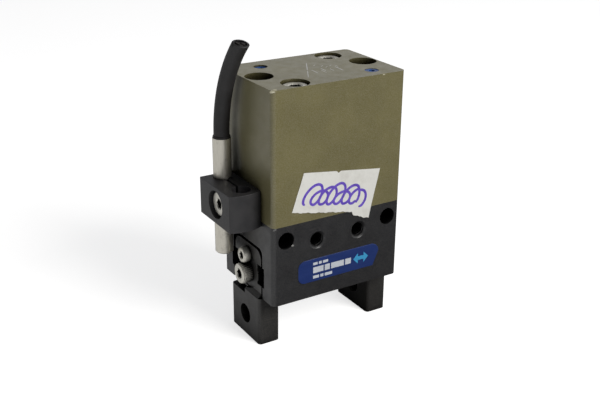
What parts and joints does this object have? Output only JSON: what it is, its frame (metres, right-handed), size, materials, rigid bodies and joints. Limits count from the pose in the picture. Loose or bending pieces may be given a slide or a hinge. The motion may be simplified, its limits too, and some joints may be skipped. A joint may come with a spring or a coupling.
{
  "type": "pneumatic gripper",
  "caption": "Small parallel pneumatic gripper with two jaws on cross-roller guides, a wedge-hook piston drive, an opening spring and a clamped proximity sensor.",
  "frame": {"origin": "centre of the top mounting face", "axes": "+Z out of the top face, away from the fingers; the jaws slide along X; -Y is the labelled front"},
  "size_m": [0.0415, 0.0222, 0.0667],
  "materials": {
    "olive_anodised": "satin hard-anodised",
    "black_anodised": "satin hard-anodised",
    "plain_aluminium": "turned",
    "black_steel": "blackened, ground",
    "hardened_steel": "ground",
    "zinc_screw": "zinc plated",
    "spring_steel": "drawn wire",
    "brass": "stamped",
    "bronze": "sintered",
    "rubber": "smooth",
    "guide_plastic": "moulded",
    "blue_plug": "coated",
    "bracket_plastic": "moulded",
    "sensor_metal": "satin stainless",
    "sensor_plastic": "moulded",
    "cable_jacket": "matt extruded",
    "cable_core": "extruded",
    "label_blue": "printed foil",
    "paper": "uncoated paper"
  },
  "bodies": {
    "housing": {"cylinder_housing": "olive_anodised", "guide_base": "black_anodised", "cylinder_cover": "plain_aluminium", "cover_seal": "rubber", "rod_bush": "bronze", "rod_seal": "rubber", "seal_retainer": "hardened_steel", "housing_screws": "zinc_screw", "dowel_pins": "hardened_steel", "port_plugs": "blue_plug", "guide_rail_front": "hardened_steel", "guide_rail_rear": "hardened_steel", "preload_screws": "black_steel", "bottom_cover": "black_anodised", "bottom_cover_screws": "zinc_screw", "opening_spring": "spring_steel", "sensor_bracket": "bracket_plastic", "bracket_screw": "zinc_screw", "proximity_sensor": "sensor_metal", "sensor_face": "sensor_plastic", "sensor_cable": "cable_jacket", "cable_cores": "cable_core", "type_label": "label_blue", "inventory_sticker": "paper"},
    "piston_group": {"piston": "plain_aluminium", "piston_seal": "rubber", "piston_band": "guide_plastic", "piston_rod": "hardened_steel", "piston_nut": "zinc_screw", "wedge_hook": "hardened_steel"},
    "jaw_left": {"jaw_left": "black_steel", "jaw_end_screw_left": "zinc_screw", "cam_screw_left": "zinc_screw"},
    "jaw_right": {"jaw_right": "black_steel", "jaw_end_screw_right": "zinc_screw", "cam_screw_right": "zinc_screw"},
    "cages_left": {"roller_cages_left": "brass", "rollers_left": "hardened_steel"},
    "cages_right": {"roller_cages_right": "brass", "rollers_right": "hardened_steel"}
  },
  "joints": [
    {"name": "piston_slide", "type": "slide", "parent": "housing", "child": "piston_group", "axis": [0, 0, 1], "range_m": [0, 0.0069], "deforming": ["opening_spring"]},
    {"name": "jaw_left_slide", "type": "slide", "parent": "housing", "child": "jaw_left", "axis": [1, 0, 0], "range_m": [0, 0.004]},
    {"name": "jaw_right_slide", "type": "slide", "parent": "housing", "child": "jaw_right", "axis": [-1, 0, 0], "range_m": [0, 0.004]},
    {"name": "cages_left_slide", "type": "slide", "parent": "housing", "child": "cages_left", "axis": [1, 0, 0], "range_m": [0, 0.002]},
    {"name": "cages_right_slide", "type": "slide", "parent": "housing", "child": "cages_right", "axis": [-1, 0, 0], "range_m": [0, 0.002]}
  ],
  "couplings": [
    {"joint": "jaw_left_slide", "follows": "piston_slide", "ratio": 0.57735},
    {"joint": "jaw_right_slide", "follows": "piston_slide", "ratio": 0.57735},
    {"joint": "cages_left_slide", "follows": "piston_slide", "ratio": 0.28868},
    {"joint": "cages_right_slide", "follows": "piston_slide", "ratio": 0.28868}
  ]
}
